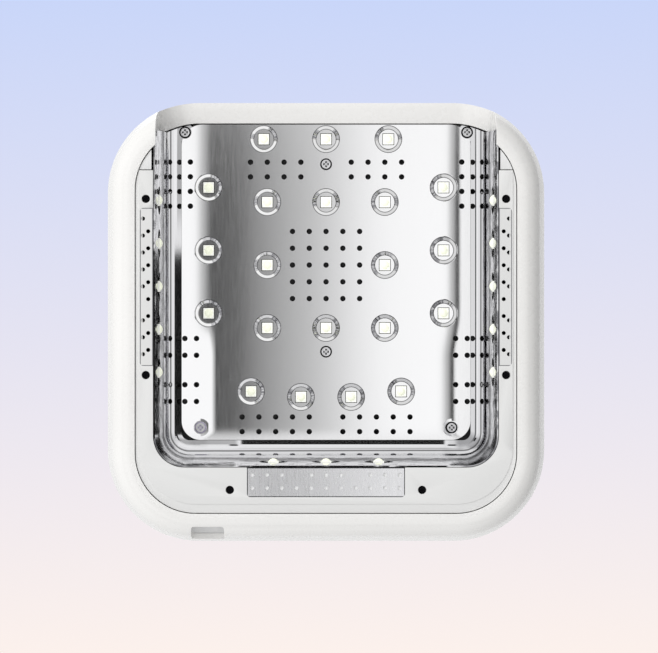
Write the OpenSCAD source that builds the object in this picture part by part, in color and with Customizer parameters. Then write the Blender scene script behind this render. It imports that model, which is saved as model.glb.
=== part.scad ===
// Lamp that cures nail gel: a rounded-square housing over a mirror-lined hand cavity.
// It stands on the housing's rim, with the hand opening at the front, towards -Y.
// The origin is the middle of the footprint, on the table. Lengths are millimetres.

/* [Housing] */
// Width of the housing at its widest
body_w = 207; // [198:1:226]
// Depth of the housing, front to back
body_d = 208; // [200:1:226]
// Height from the table to the flat top
body_h = 92; // [90:1:104]
// Radius of the housing's corners in plan
corner_r = 43.5; // [40:0.5:48]
// Radius where the sides roll under to the rim
under_roll_r = 9; // [5:0.5:11]
// Height at which the flared sides are widest
flare_top = 64; // [40:1:72]
// Radius where the sides roll over to the top
top_roll_r = 18; // [12:1:22]
// Wall thickness of the housing
shell_wall = 2.6; // [2:0.1:3]
// Width of the under-band, from the widest outline to the rim's inner edge
band_w = 15.5; // [14.5:0.1:17]
// Width of the flat edge on which the housing stands
edge_w = 2; // [1.5:0.1:3]

/* [Hand opening] */
// Clear width of the hand opening between the front legs
arch_w = 157; // [146:1:158]
// Height of the hand opening above the table
arch_h = 58; // [50:1:59]
// Radius of the hand opening's upper corners
arch_r = 16; // [8:1:24]
// Depth of the lip that turns back from the opening's edge
arch_lip = 9.7; // [7:0.1:11]

/* [Base ring] */
// Width of the ring along the sides
ring_side = 8.4; // [8:0.1:10]
// Width of the ring along the back
ring_back = 21.3; // [19:0.1:23]
// Radius of the ring's inner corners
ring_in_r = 14.5; // [13:0.5:18]
// Thickness of the ring
ring_thick = 3; // [2.6:0.1:4]
// Height of the ring's face above the table
ring_lift = 0.5; // [0.3:0.1:1]
// Distance from the origin forward to the ring's two ends
ring_front = 69.6; // [66:0.1:72]
// Gap round the ring and round the frame's feet
ring_gap = 0.4; // [0.2:0.1:0.6]
// Width of the ring's fine border step along the sides
step_side = 2; // [1:0.1:2.4]
// Width of the ring's fine border step along the back
step_back = 4.5; // [2:0.1:6]
// Depth of the border step
step_deep = 0.5; // [0.1:0.1:0.6]

/* [Vent plates] */
// Thickness of the perforated plates
plate_thick = 0.8; // [0.5:0.1:1]
// Width of a side plate, from the ring's inner edge
side_plate_w = 6; // [5:0.1:6.4]
// Length of a side plate
side_plate_len = 72.7; // [64:0.1:76]
// Middle of the side plates, ahead of the origin
side_plate_mid = 15.9; // [12:0.1:20]
// Width of the back plate
back_plate_w = 72.7; // [60:0.1:80]
// Depth of the back plate, from the ring's inner edge
back_plate_d = 13.6; // [11:0.1:15]
// Radius of the plates' outer corners
plate_r = 1.6; // [0.8:0.1:2.2]
// Diameter of the holes in the plates
pin_hole_d = 1.9; // [1.2:0.1:2.2]
// Pitch of the holes in the side plates
side_pitch = 7.8; // [7:0.1:8.2]
// Pitch of the holes in the back plate
back_pitch = 6.8; // [6:0.1:7]

/* [Reflector] */
// Thickness of the reflector sheet
sheet = 0.6; // [0.4:0.1:0.8]
// Height of the flat ceiling above the table
ceiling_z = 62; // [61:0.5:64]
// How far the walls lean in between the table and the ceiling
wall_draft = 3; // [1:0.1:4]
// Radius where the walls roll over under the ceiling
wall_roll_r = 4.8; // [4:0.1:6]
// Width of the flat flange in which the roll ends
flange_w = 2; // [1.4:0.1:3]
// Width of the folded strips along the ceiling's sides
strip_w = 12.7; // [11:0.1:14]
// Drop of the strips from the fold to their outer edge
strip_drop = 2.5; // [1:0.1:3.5]
// Radius of the ceiling's rear corners
ceiling_r = 9; // [5:0.5:11]
// Radius of the ceiling's front corners
ceiling_front_r = 10; // [6:0.5:12]
// Diameter of the round vent holes
vent_d = 2.6; // [1.8:0.1:3]

/* [LEDs] */
// Side of the square LED packages
led_size = 5; // [4:0.1:5.4]
// Thickness of the LED packages
led_thick = 1.5; // [1:0.1:1.6]
// Diameter of the resin window in a package
resin_d = 4.2; // [3:0.1:4.2]
// Height of the clear dome over the window
dome_h = 1.2; // [0.6:0.1:1.6]
// Diameter of the drawn cup round each ceiling LED, inside its rounded lip
cup_d = 13.2; // [11:0.1:14]
// Diameter of the cup's flat floor
cup_floor_d = 9.2; // [8:0.1:10]
// Depth of the drawn cup
cup_deep = 1.3; // [0.8:0.1:1.5]
// Radius of the cup's lip
cup_lip_r = 0.7; // [0.3:0.1:0.9]
// Gap round a package in the cup's square window
led_gap = 0.3; // [0.2:0.05:0.5]
// Diameter of the holes for the LEDs in the walls
wall_hole_d = 13.2; // [8:0.1:14]
// Pitch between the LED rows of the ceiling
led_pitch = 30; // [28:0.5:31]
// Spacing of the front row of LEDs
led_front_x = 29.7; // [27:0.1:31]
// Spacing of the middle rows of LEDs
led_grid_x = 28; // [26:0.1:30]
// Radius of the arc on which the last row of LEDs lies
led_arc_r = 219; // [180:1:260]
// Angle between LEDs on that arc
led_arc_step = 6.27; // [5.6:0.01:6.6]
// Height of the wall LEDs above the table
wall_led_z = 21; // [18:0.5:24]
// Pitch of the LEDs along the side walls
wall_led_pitch = 20; // [18:0.5:21]
// Pitch of the LEDs along the back wall
back_led_pitch = 24.5; // [20:0.5:26]

/* [Timer buttons] */
// Diameter of a button's cap
button_d = 14; // [11:0.5:16]
// Pitch between the buttons
button_pitch = 26; // [24:0.5:28]
// Travel of a button
button_travel = 0.5; // [0.3:0.1:0.6]
// Gap round a button in its hole
button_gap = 0.3; // [0.2:0.05:0.5]
// Width of the control panel
panel_w = 120; // [112:1:126]
// Depth of the control panel
panel_d = 48; // [46:1:56]
// Middle of the control panel, ahead of the origin
panel_mid = 38; // [34:1:42]
// Thickness of the control panel
panel_thick = 1; // [0.6:0.1:1.2]

/* [Power inlet] */
// Width of the recess for the plug
port_w = 15.1; // [13:0.1:18]
// Height of the recess for the plug
port_h = 18; // [16:0.5:22]
// Radius of the recess's corners
port_r = 1.2; // [0.5:0.1:2]
// Depth of the recess for the plug, in from the widest outline
port_deep = 9.5; // [8.5:0.1:10]
// Middle of the recess, left of the origin
port_x = 54.6; // [50:0.1:56]
// Height of the inlet's axis above the table
jack_z = 9.5; // [9:0.1:10]
// Diameter of the plug that the inlet takes
plug_d = 5.5; // [5:0.1:5.6]
// Depth of the inlet's barrel
barrel_deep = 9.5; // [8:0.1:10]

/* [Hidden] */
$fn = 64;
// Small overlap that lets a cutting shape clear a face
over = 1;

// Half sizes of the rim's inner edge, which the ring and the feet fit inside
rim_x = body_w / 2 - band_w;
rim_y = body_d / 2 - band_w;
rim_r = corner_r - band_w;

// The flared side is one large arc, tangent to the roll under it and upright where it ends
flat_u = rim_r + edge_w;
flare_out = band_w - edge_w;
flare_r = (pow(flare_out, 2) + pow(flare_top - under_roll_r, 2) - pow(under_roll_r, 2))
    / (2 * (flare_out - under_roll_r));
flare_u = corner_r - flare_r;

// Half width and back edge of the ring's opening, and the centre of its corners
in_x = rim_x - ring_side;
in_y = rim_y - ring_back;
bend_x = in_x - ring_in_r;
bend_y = in_y - ring_in_r;
ring_top = ring_lift + ring_thick;
plate_gap = 0.1;
plate_z = ring_lift + plate_gap;
plate_end = 4.9;

// The wall sheet, measured outward from the corner centres
sheet_gap = 0.3;
wall_low_u = ring_in_r - sheet_gap - sheet;
wall_high_u = wall_low_u - wall_draft;
wall_low_z = ring_lift + 0.4;
wall_high_z = ceiling_z + 0.4 - wall_roll_r;
wall_end_u = wall_high_u - wall_roll_r;
flange_u = wall_end_u - flange_w;

// The ceiling sheet, with its fold lines
edge_gap = 0.2;
strip_out = bend_x + flange_u - edge_gap;
fold_x = strip_out - strip_w;
ceiling_front = body_d / 2 - arch_lip - ring_gap;
ceiling_back = bend_y + flange_u - edge_gap;

// LED rows of the ceiling, counted from the front
led_front_inset = 6.9;
led_side_shift = 7;
led_arc_inset = 20.1;
wall_led_shift = 0.6;
function led_row(k) = led_front_inset - ceiling_front + k * led_pitch;
led_spots = concat(
    [for (side = [-1, 0, 1]) [side * led_front_x, led_row(0)]],
    [for (side = [-1, 0, 1], k = [1, 3]) [side * led_grid_x, led_row(k)]],
    [for (side = [-1, 1]) [side * led_grid_x, led_row(2)]],
    [for (side = [-1, 1], k = [1:3]) [side * fold_x, led_row(k) - led_side_shift]],
    [for (k = [-1.5:1:1.5]) [
        led_arc_r * sin(k * led_arc_step),
        ceiling_back - led_arc_inset - led_arc_r * (1 - cos(k * led_arc_step))
    ]]
);

// Wall LEDs: five along each side and three across the back
side_led_first = led_row(1) + wall_led_shift;
side_led_spots = [for (k = [0:4]) side_led_first + k * wall_led_pitch];
back_led_spots = [for (k = [-1:1]) k * back_led_pitch];

// Vent holes of the ceiling
vent_grid = 8;
vent_row = 7;
front_vent_gap = 11;
rear_vent_gap = 5;
rear_group_gap = 22;
strip_vent_x = 8.6;
strip_pair_x = [5.7, 11.2];
back_vent_edge = 3.9;
front_rows = [for (k = [0:3]) led_row(0) + front_vent_gap + k * vent_row];
rear_rows = [for (group = [0, rear_group_gap], k = [0, 1])
    led_row(3) + rear_vent_gap + group + k * vent_grid];
ceiling_vents = concat(
    [for (i = [-2:2], j = [-2:2]) [i * vent_grid, led_row(2) + j * vent_grid]],
    [for (side = [-1, 1], i = [1.5:1:4.5], j = [0, 1]) [side * i * vent_grid, front_rows[j]]],
    [for (side = [-1, 1], y = front_rows) [side * (fold_x + strip_vent_x), y]],
    [for (side = [-1, 1], x = strip_pair_x, y = rear_rows) [side * (fold_x + x), y]],
    [for (side = [-1, 1], i = [1:5], k = [0, 1])
        [side * i * vent_grid, ceiling_back - back_vent_edge - k * vent_row]]
);

// Vent holes of the side walls: a column below the roll, one half way up it and one in the
// flange. The back wall has a row near the table and one where the roll starts.
wall_vent_z = 50;
roll_vent_angle = 45;
flange_vent = 0.9;
back_vent_z = 8;
back_roll_angle = 16;

// Screws
screw_head_r = 2.85;
screw_head_h = 1.6;
screw_r = 1.4;
screw_fit = 0.05;
screw_clear = 0.2;
head_gap = 0.35;
boss_r = 2.4;
boss_clear = 0.4;
seat_r = 4.2;
front_screw_side = 1.5;
front_screw_edge = 3.7;
tab_z = wall_high_z + wall_roll_r;
rear_screw_side = 3.8;
rear_screw_edge = 5.9;
mid_screw_gaps = [12, 11.3];
tab_screws = [for (side = [-1, 1])
    [side * (strip_out - front_screw_side), front_screw_edge - ceiling_front]];
ceiling_screws = concat(
    [for (side = [-1, 1]) [side * (fold_x + rear_screw_side), ceiling_back - rear_screw_edge]],
    [[0, led_row(0) + mid_screw_gaps[0]], [0, led_row(3) + mid_screw_gaps[1]]]
);
function strip_z(x) = ceiling_z - strip_drop * max(0, (abs(x) - fold_x) / strip_w);

// Screws of the ring
ring_screw_r = 1.8;
ring_screw_h = 1.3;
ring_shank_r = 1;
ring_ledge = 1.1;
ring_boss_r = 3.2;
ring_boss_h = 5;
ring_head_fit = 0.15;
side_screw_gap = 4.2;
side_screw_in = 3.3;
back_screw_gap = 7.9;
back_screw_in = 10.3;
side_screws = [side_plate_mid + side_plate_len / 2 + side_screw_gap,
               side_plate_mid - side_plate_len / 2 - side_screw_gap];
back_screw_x = back_plate_w / 2 + back_screw_gap;
ring_screw_spots = concat(
    [for (side = [-1, 1], y = side_screws) [side * (in_x + side_screw_in), -y]],
    [for (side = [-1, 1]) [side * back_screw_x, in_y + back_screw_in]]
);

// Boards
board = 1.6;
board_rise = 4;
frame_plate_z = ceiling_z + board_rise;
frame_plate = 2.5;
ceiling_board_z = frame_plate_z - board;
ceiling_board_margin = 3.5;
ceiling_board_x = fold_x + led_size / 2 + ceiling_board_margin;
ceiling_board_front = ceiling_front - 1.6;
ceiling_board_back = ceiling_back - 12.3;
wall_board_gap = 0.1;
wall_board_h = 16;
wall_board_low = wall_led_z - wall_board_h / 2;
wall_board_end = 8;
wall_board_u = wall_low_u + sheet + wall_board_gap
    - wall_draft * (wall_board_low - wall_low_z) / (wall_high_z - wall_low_z);

// Frame
frame_wall = 2;
frame_gap = 4.9;
rib_thick = 3;
rib_shift = 8.5;
frame_in_u = ring_in_r + frame_gap;
frame_front = 76;
foot_z = ring_lift + 0.5;
foot_h = 7;
foot_side_gap = 0.7;
frame_margin = 10;
frame_screw_in = 5.6;
frame_screw_front = 60;
frame_screw_back = 30;
frame_screw_spots = [for (side = [-1, 1], y = [-frame_screw_front, frame_screw_back])
    [side * (in_x - frame_screw_in), y]];
frame_boss_r = 4;
boss_hole_deep = 8;
wire_slot_w = 6;
wire_slot_gap = 4;
screw_bite = 6;
board_screw_bite = 4;

// Control board over the frame
control_w = 110;
control_d = 70;
control_mid = 20;
control_post_h = 4.5;
control_z = frame_plate_z + frame_plate + control_post_h;
control_post_r = 3;
post_inset = 5;
control_posts = [for (i = [-1, 1], j = [-1, 1])
    [i * (control_w / 2 - post_inset), control_mid + j * (control_d / 2 - post_inset)]];

// Control panel in the top, with the board behind it
panel_r = 14;
panel_fit = 0.15;
button_row = 11;
button_y = -panel_mid - button_row;
button_spots = [for (k = [-1.5:1:1.5]) k * button_pitch];
button_flange = 1.2;
flange_h = 1.1;
window_w = 48;
window_d = 16;
window_back = 12;
window_y = window_back - panel_mid;
window_thick = 1.6;
window_ledge = 1.5;
skin_z = body_h - shell_wall;
tall_part_gap = 4.2;
tall_part_h = skin_z - tall_part_gap - control_z - board;
switch_h = 4.3;
switch_size = 6;
stem_h = 0.7;
stem_r = 1.75;
stem_spare = 0.1;
stem_gap = button_travel + stem_spare;
plunger_h = 0.7;
plunger_r = 2.2;
panel_board_top = skin_z - button_gap - flange_h - plunger_h - stem_gap - stem_h - switch_h;
panel_board_w = 106;
panel_board_d = 46;
panel_post_r = 2.6;
panel_post_edge = 4;
panel_posts = concat(
    [for (side = [-1, 1]) [side * button_pitch, panel_post_edge - panel_mid - panel_board_d / 2]],
    [for (side = [-1, 1]) [side * (panel_board_w / 2 - panel_post_edge),
                           panel_board_d / 2 - panel_mid - panel_post_edge]]
);

// Inlet
port_y = body_d / 2 - port_deep;
jack_w = 12;
jack_nose_r = 4;
jack_len = 14;
port_wall = 2.2;
housing_gap = 0.15;
nose_gap = 0.2;
jack_flush = 0.2;
plug_fit = 0.2;
pin_r = 1;
pin_inset = 1.5;
lead_r = 0.9;
lead_bend = 5;
lead_gap = 1.2;
lead_spacing = 2.16;
lead_end = 4;

// Rounded rectangle about the origin, given by its half sizes
module plan(x, y, r) {
    square([2 * x, 2 * (y - r)], center = true);
    square([2 * (x - r), 2 * y], center = true);
    for (i = [-1, 1], j = [-1, 1]) translate([i * (x - r), j * (y - r)]) circle(r);
}

// Outline of the hand opening, grown on all sides, in the plane of the front
module arch(grow) {
    r = arch_r + grow;
    x = arch_w / 2 + grow;
    translate([-x, -2 * over]) square([2 * x, arch_h - arch_r + 2 * over]);
    translate([r - x, -2 * over]) square([2 * (x - r), arch_h + grow + 2 * over]);
    for (i = [-1, 1]) translate([i * (x - r), arch_h - arch_r]) circle(r);
}

// U-shaped plan of the hand cavity, open to the front, u outside the corner centres
module cavity(u, front) {
    translate([-bend_x - u, -front]) square([2 * (bend_x + u), front + bend_y]);
    translate([-bend_x, 0]) square([2 * bend_x, bend_y + u]);
    for (i = [-1, 1]) translate([i * bend_x, bend_y]) circle(u);
}

// Carries a section (x outward, y up) down both sides and round the back of the cavity
module cavity_sweep(front) {
    for (i = [0, 1]) mirror([i, 0, 0]) translate([bend_x, bend_y, 0]) {
        rotate([90, 0, 0]) linear_extrude(bend_y + front) children();
        rotate_extrude(angle = 90) children();
    }
    translate([-bend_x, bend_y, 0]) rotate([90, 0, 90]) linear_extrude(2 * bend_x) children();
}

// Half section of the housing, inset from its outer face, measured from the corner centres
module body_section(inset) {
    low = under_roll_r - inset;
    high = top_roll_r - inset;
    // Point on the line through both arcs' centres, past the outer face
    span = flare_r - under_roll_r;
    past = [flat_u + (flat_u - flare_u) / span * (under_roll_r + over),
            under_roll_r - (flare_top - under_roll_r) / span * (under_roll_r + over)];
    translate([0, inset]) square([flat_u, body_h - top_roll_r - inset]);
    translate([flat_u, under_roll_r]) circle(low);
    intersection() {
        translate([flare_u, flare_top]) circle(flare_r - inset, $fn = 360);
        polygon([[0, under_roll_r], [flat_u, under_roll_r], past, [corner_r + over, past[1]],
                 [corner_r + over, flare_top], [0, flare_top]]);
    }
    translate([0, flare_top])
        square([corner_r - inset, body_h - flare_top - top_roll_r]);
    translate([0, body_h - top_roll_r]) square([corner_r - top_roll_r, high]);
    translate([corner_r - top_roll_r, body_h - top_roll_r]) circle(high);
}

// Carries a section round all four sides of the housing
module body_sweep() {
    x = body_w / 2 - corner_r;
    y = body_d / 2 - corner_r;
    for (i = [0, 1], j = [0, 1]) mirror([i, 0, 0]) mirror([0, j, 0]) translate([x, y, 0])
        rotate_extrude(angle = 90) children();
    for (i = [0, 1]) mirror([i, 0, 0]) translate([x, y, 0])
        rotate([90, 0, 0]) linear_extrude(2 * y) children();
    for (j = [0, 1]) mirror([0, j, 0]) translate([-x, y, 0])
        rotate([90, 0, 90]) linear_extrude(2 * x) children();
}

// Solid bun inset from the housing's outer face, to trim what is joined to it or lies inside
module body_core(inset) {
    body_sweep() body_section(inset);
    translate([corner_r - body_w / 2, corner_r - body_d / 2, inset])
        cube([body_w - 2 * corner_r, body_d - 2 * corner_r, body_h - 2 * inset]);
}

// Open-bottomed skin of the housing
module skin() {
    body_sweep() difference() {
        body_section(0);
        body_section(shell_wall);
        translate([-over, -over]) square([rim_r + over, shell_wall + 2 * over]);
    }
    translate([corner_r - body_w / 2, corner_r - body_d / 2, skin_z])
        cube([body_w - 2 * corner_r, body_d - 2 * corner_r, shell_wall]);
}

// Tube that hangs from the housing's top, drilled from below
module hanging_boss(r, hole_r, low) {
    difference() {
        translate([0, 0, low]) cylinder(r = r, h = skin_z - low + over);
        translate([0, 0, low - over]) cylinder(r = hole_r, h = boss_hole_deep + over);
    }
}

// Plan of the housing, inset from its widest outline
module body_plan(inset) {
    plan(body_w / 2 - inset, body_d / 2 - inset, corner_r - inset);
}

// Lip that turns back round the hand opening
module opening_lip() {
    intersection() {
        body_core(shell_wall / 2);
        difference() {
            translate([0, corner_r - body_d / 2, 0]) rotate([90, 0, 0])
                linear_extrude(corner_r) arch(shell_wall);
            translate([0, 0, -over]) linear_extrude(body_h) body_plan(arch_lip);
        }
    }
}

// Upright prism of the recess for the plug, from below the table up
module inlet_recess() {
    translate([-port_x, port_y + body_d / 2, -over]) linear_extrude(port_h + over)
        plan(port_w / 2, body_d / 2, port_r);
}

module outer_shell() {
    color("#F4F4F5") difference() {
        union() {
            skin();
            opening_lip();
            for (p = frame_screw_spots) translate(p)
                hanging_boss(frame_boss_r, screw_r + screw_fit, frame_plate_z + frame_plate);
            for (p = panel_posts) translate(p)
                hanging_boss(panel_post_r, ring_shank_r + screw_fit, panel_board_top);
        }
        translate([0, corner_r - body_d / 2, 0]) rotate([90, 0, 0])
            linear_extrude(corner_r + over) arch(0);
        inlet_recess();
        translate([0, -panel_mid, body_h - panel_thick])
            linear_extrude(panel_thick + over) plan(panel_w / 2, panel_d / 2, panel_r);
        for (x = button_spots) translate([x, button_y, skin_z - over])
            cylinder(d = button_d + 2 * button_gap, h = shell_wall + 2 * over);
        translate([0, window_y, skin_z + shell_wall / 2])
            cube([window_w - 2 * window_ledge, window_d - 2 * window_ledge,
                  shell_wall + 2 * over], center = true);
        rear_slots();
    }
}

// Slots high in the back wall that let the warm air out
module rear_slots() {
    slot_w = 2.4;
    slot_h = 14;
    slot_pitch = 7;
    for (k = [-5:5]) translate([k * slot_pitch, body_d / 2 - 2 * shell_wall, body_h / 2])
        rotate([-90, 0, 0]) linear_extrude(3 * shell_wall) {
            square([slot_w, slot_h - slot_w], center = true);
            for (j = [-1, 1]) translate([0, j * (slot_h - slot_w) / 2]) circle(d = slot_w);
        }
}

// Pockets for the three vent plates, and the plates' own outlines
module side_plate_plan() {
    translate([in_x, -side_plate_mid - side_plate_len / 2]) {
        square([side_plate_w - plate_r, side_plate_len]);
        translate([0, plate_r]) square([side_plate_w, side_plate_len - 2 * plate_r]);
        for (y = [plate_r, side_plate_len - plate_r])
            translate([side_plate_w - plate_r, y]) circle(plate_r);
    }
}

module back_plate_plan() {
    translate([-back_plate_w / 2, in_y]) {
        square([back_plate_w, back_plate_d - plate_r]);
        translate([plate_r, 0]) square([back_plate_w - 2 * plate_r, back_plate_d]);
        for (x = [plate_r, back_plate_w - plate_r])
            translate([x, back_plate_d - plate_r]) circle(plate_r);
    }
}

module base_ring() {
    pocket = plate_thick + plate_gap;
    slot_inset = 1.2;
    color("#E4E4E6") difference() {
        translate([0, 0, ring_lift]) linear_extrude(ring_thick) intersection() {
            difference() {
                plan(rim_x - ring_gap, rim_y - ring_gap, rim_r - ring_gap);
                cavity(ring_in_r, body_d);
            }
            translate([-body_w, -ring_front]) square([2 * body_w, body_d]);
        }
        translate([0, 0, ring_lift - over]) linear_extrude(step_deep + over) difference() {
            translate([-body_w, -body_d]) square([2 * body_w, 2 * body_d]);
            plan(rim_x - step_side, rim_y - step_back, rim_r - step_side);
            translate([step_side - rim_x, -body_d]) square([2 * (rim_x - step_side), body_d]);
        }
        translate([0, 0, ring_lift - over]) linear_extrude(pocket + over) {
            for (i = [0, 1]) mirror([i, 0]) side_plate_plan();
            back_plate_plan();
        }
        for (i = [-1, 1]) translate([i * (in_x + side_plate_w / 2), -side_plate_mid, ring_top / 2])
            cube([side_plate_w - 2 * slot_inset, side_plate_len - 4 * slot_inset,
                  ring_top + over], center = true);
        for (p = ring_screw_spots) translate(p) {
            cylinder(r = ring_screw_r + ring_head_fit, h = ring_top - ring_ledge);
            cylinder(r = ring_shank_r + screw_clear, h = ring_top + over);
        }
    }
}

// One side plate: two columns of small holes, staggered
module side_plate() {
    first = plate_end - side_plate_mid - side_plate_len / 2;
    columns = [4.6, 2.2];
    stagger = 0.75;
    color("#DCDCDE") difference() {
        translate([0, 0, plate_z]) linear_extrude(plate_thick) side_plate_plan();
        for (k = [0:8]) if (k != 5) translate([in_x + columns[0], first + k * side_pitch, 0])
            cylinder(d = pin_hole_d, h = ring_top);
        for (k = [0:7]) translate([in_x + columns[1], first + (k + stagger) * side_pitch, 0])
            cylinder(d = pin_hole_d, h = ring_top);
    }
}

module vent_plate_left() {
    mirror([1, 0, 0]) side_plate();
}

module vent_plate_right() {
    side_plate();
}

module rear_vent_plate() {
    rows = [9.4, 3.4];
    color("#B9BABD") difference() {
        translate([0, 0, plate_z]) linear_extrude(plate_thick) back_plate_plan();
        for (k = [-5:5]) {
            translate([k * back_pitch, in_y + rows[0], 0]) cylinder(d = pin_hole_d, h = ring_top);
            if (abs(k) != 2) translate([k * back_pitch, in_y + rows[1], 0])
                cylinder(d = pin_hole_d, h = ring_top);
        }
    }
}

// Folded section of the ceiling sheet, from its lower face up by a given height
module ceiling_section(height) {
    low = ceiling_z - strip_drop;
    polygon([
        [-strip_out, low], [-fold_x, ceiling_z], [fold_x, ceiling_z], [strip_out, low],
        [strip_out, low + height], [fold_x, ceiling_z + height],
        [-fold_x, ceiling_z + height], [-strip_out, low + height]
    ]);
}

// Fall of the strip's face across the radius of a screw's seat
seat_fall = strip_drop * seat_r / strip_w;

// The same section carried along the ceiling's length
module ceiling_fold(height) {
    translate([0, ceiling_back, 0]) rotate([90, 0, 0])
        linear_extrude(ceiling_back + ceiling_front) ceiling_section(height);
}

// Plan of the ceiling sheet, with its corners rounded
module ceiling_plan() {
    length = ceiling_front + ceiling_back;
    translate([-strip_out, ceiling_front_r - ceiling_front])
        square([2 * strip_out, length - ceiling_front_r - ceiling_r]);
    translate([ceiling_r - strip_out, ceiling_front_r - ceiling_front])
        square([2 * (strip_out - ceiling_r), length - ceiling_front_r]);
    translate([ceiling_front_r - strip_out, -ceiling_front])
        square([2 * (strip_out - ceiling_front_r), length - ceiling_r]);
    for (i = [-1, 1]) {
        translate([i * (strip_out - ceiling_r), ceiling_back - ceiling_r]) circle(ceiling_r);
        translate([i * (strip_out - ceiling_front_r), ceiling_front_r - ceiling_front])
            circle(ceiling_front_r);
    }
}

// Prism inside the lip of the hand opening, which both reflector sheets stop short of
module inside_lip() {
    linear_extrude(body_h) body_plan(arch_lip + ring_gap);
}

// Inside of a drawn cup: a rounded lip, a sloping wall and a flat floor
module cup_inside() {
    slope = atan2(cup_deep, (cup_d - cup_floor_d) / 2);
    touch = cup_lip_r * tan(slope / 2);
    translate([0, 0, -strip_drop - over])
        cylinder(d = cup_d + 2 * touch, h = strip_drop + over);
    cylinder(d1 = cup_d, d2 = cup_floor_d, h = cup_deep);
    rotate_extrude() difference() {
        polygon([[cup_d / 2 - touch * cos(slope), touch * sin(slope)],
                 [cup_d / 2 - touch * cos(slope), -over], [cup_d / 2 + touch, -over],
                 [cup_d / 2 + touch, 0], [cup_d / 2 + touch, touch * sin(slope)]]);
        translate([cup_d / 2 + touch, cup_lip_r]) circle(cup_lip_r);
        translate([cup_d / 2, 0]) square([2 * touch, cup_deep]);
    }
}

// Outside of the same cup, one sheet thicker all round
module cup_outside() {
    translate([0, 0, -strip_drop]) cylinder(d = cup_d + 4 * sheet, h = strip_drop + sheet);
    translate([0, 0, sheet])
        cylinder(d1 = cup_d + 2 * sheet, d2 = cup_floor_d + 2 * sheet, h = cup_deep);
}

module ceiling_reflector() {
    color("#D5D6D8") difference() {
        union() {
            intersection() {
                ceiling_fold(sheet);
                linear_extrude(body_h) intersection() {
                    ceiling_plan();
                    body_plan(arch_lip + ring_gap);
                }
            }
            intersection() {
                ceiling_fold(cup_deep + strip_drop + sheet);
                for (p = led_spots) translate([p[0], p[1], ceiling_z]) cup_outside();
            }
            intersection() {
                inside_lip();
                for (p = ceiling_screws) if (abs(p[0]) > fold_x)
                    translate([p[0], p[1], strip_z(p[0])]) cylinder(r = seat_r, h = sheet);
            }
            intersection() {
                inside_lip();
                ceiling_fold(2 * seat_fall + sheet);
                for (p = ceiling_screws) if (abs(p[0]) > fold_x)
                    translate([p[0], p[1], strip_z(p[0]) - seat_fall])
                        cylinder(r = seat_r, h = seat_fall + sheet / 2);
            }
        }
        for (p = ceiling_screws) if (abs(p[0]) > fold_x)
            translate([p[0], p[1], strip_z(p[0]) - strip_drop])
                cylinder(r = screw_head_r + head_gap, h = strip_drop);
        for (p = led_spots) translate([p[0], p[1], ceiling_z]) {
            cup_inside();
            translate([0, 0, cup_deep])
                cube([led_size + 2 * led_gap, led_size + 2 * led_gap, 4 * sheet], center = true);
        }
        for (p = tab_screws) translate([p[0], p[1], tab_z - 2 * screw_head_h])
            cylinder(r = screw_head_r + head_gap, h = 2 * screw_head_h);
        for (p = ceiling_vents) translate([p[0], p[1], ceiling_z - strip_drop - over])
            cylinder(d = vent_d, h = strip_drop + 2 * over);
        for (p = ceiling_screws) translate([p[0], p[1], ceiling_z - strip_drop - over])
            cylinder(r = screw_r + screw_clear, h = strip_drop + 2 * over);
    }
}

// Section of the wall sheet: leaning wall, quarter roll, and a flat flange beside the ceiling
module wall_section() {
    translate([flange_u, tab_z]) square([flange_w, sheet]);
    polygon([
        [wall_low_u, wall_low_z], [wall_low_u + sheet, wall_low_z],
        [wall_high_u + sheet, wall_high_z], [wall_high_u, wall_high_z]
    ]);
    translate([wall_end_u, wall_high_z]) intersection() {
        difference() {
            circle(wall_roll_r + sheet);
            circle(wall_roll_r);
        }
        square(wall_roll_r + sheet);
    }
}

// Tab at the roll's front end, which takes a screw beside the ceiling's rounded corner
module screw_tab() {
    spot = tab_screws[1];
    translate([0, 0, tab_z]) linear_extrude(sheet) {
        translate(spot) circle(seat_r);
        translate([spot[0], spot[1] - seat_r]) square([bend_x + flange_u + over - spot[0], 2 * seat_r]);
    }
}

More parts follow.
